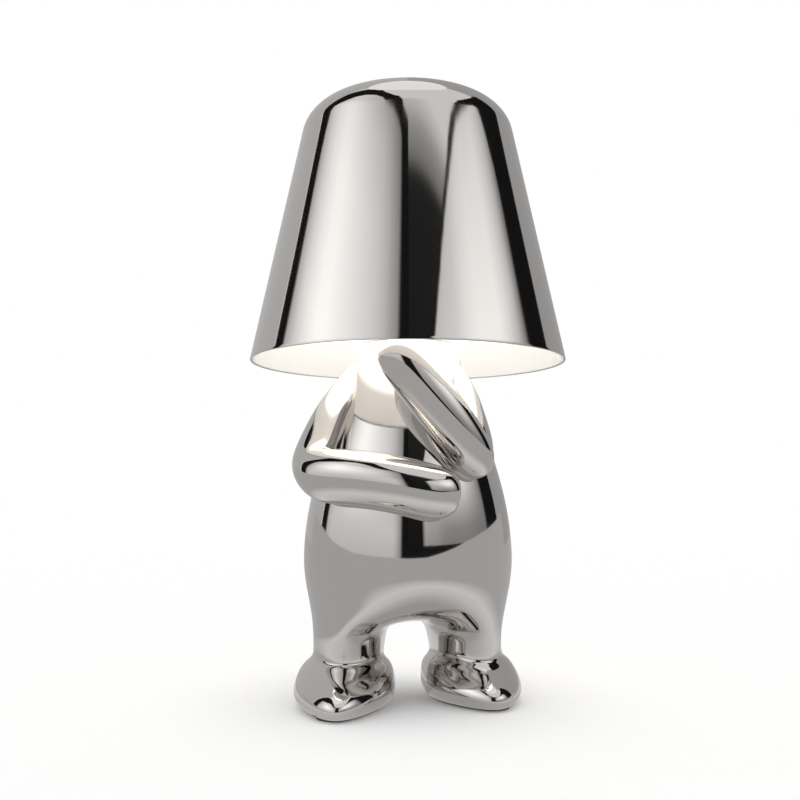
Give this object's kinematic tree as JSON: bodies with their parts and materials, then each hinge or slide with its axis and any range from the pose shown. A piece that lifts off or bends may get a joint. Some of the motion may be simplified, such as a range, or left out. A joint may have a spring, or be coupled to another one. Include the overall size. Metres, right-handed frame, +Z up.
{
  "type": "cordless desk lamp",
  "caption": "Cordless table lamp: a mirror-bright standing figure with folded arms holds a tapered lift-off shade over an LED light head, with a rear press button and charging socket.",
  "frame": {"origin": "on the table, midway between the feet, under the axis of the shade and the torso", "axes": "+Z up, the figure faces -Y and +X is its own left; the charging socket and button are on +Y"},
  "size_m": [0.16, 0.16, 0.302],
  "materials": {
    "bright_plating": "polished",
    "shade_white": "satin",
    "opal_plastic": "satin",
    "bright_steel": "satin",
    "pipe_brass": "satin",
    "sink_aluminium": "satin",
    "led_board_white": "satin",
    "led_phosphor": "satin",
    "board_green": "satin",
    "chip_black": "satin",
    "clear_plastic": "gloss",
    "cell_sleeve": "satin",
    "tray_plastic": "matte",
    "wire_red": "satin",
    "wire_white": "satin",
    "sole_rubber": "matte"
  },
  "bodies": {
    "figure": {"battery_cell": "cell_sleeve", "battery_leads": "wire_red", "battery_tray": "tray_plastic", "board_chips": "chip_black", "board_screws": "bright_steel", "body_shell": "bright_plating", "collar_screws": "bright_steel", "cover_screws": "bright_steel", "crossed_arm": "bright_plating", "diffuser": "opal_plastic", "heat_sink": "sink_aluminium", "lamp_pipe": "pipe_brass", "led_board": "led_board_white", "led_leads": "wire_white", "leds": "led_phosphor", "left_foot_weight": "bright_steel", "left_sole_pad": "sole_rubber", "left_sole_plate": "tray_plastic", "light_pipe": "clear_plastic", "main_board": "board_green", "neck_collar": "shade_white", "pipe_nuts": "pipe_brass", "raised_arm": "bright_plating", "rear_cover": "bright_plating", "right_foot_weight": "bright_steel", "right_sole_pad": "sole_rubber", "right_sole_plate": "tray_plastic", "seat_magnet": "bright_steel", "shade_seat": "sink_aluminium", "sole_screws": "bright_steel", "tact_switch": "chip_black", "tray_screws": "bright_steel", "usb_socket": "bright_steel"},
    "shade": {"shade_shell": "bright_plating", "shade_liner": "shade_white", "shade_hub": "shade_white", "keeper_plate": "bright_steel"},
    "button": {"power_button": "bright_plating", "switch_plunger": "chip_black"}
  },
  "joints": [
    {"name": "shade_lift", "type": "slide", "parent": "figure", "child": "shade", "axis": [0, 0, 1], "range_m": [0, 0.13]},
    {"name": "button_press", "type": "slide", "parent": "figure", "child": "button", "axis": [0, -1, 0], "range_m": [0, 0.0008], "stiffness_N_per_m": 600}
  ]
}
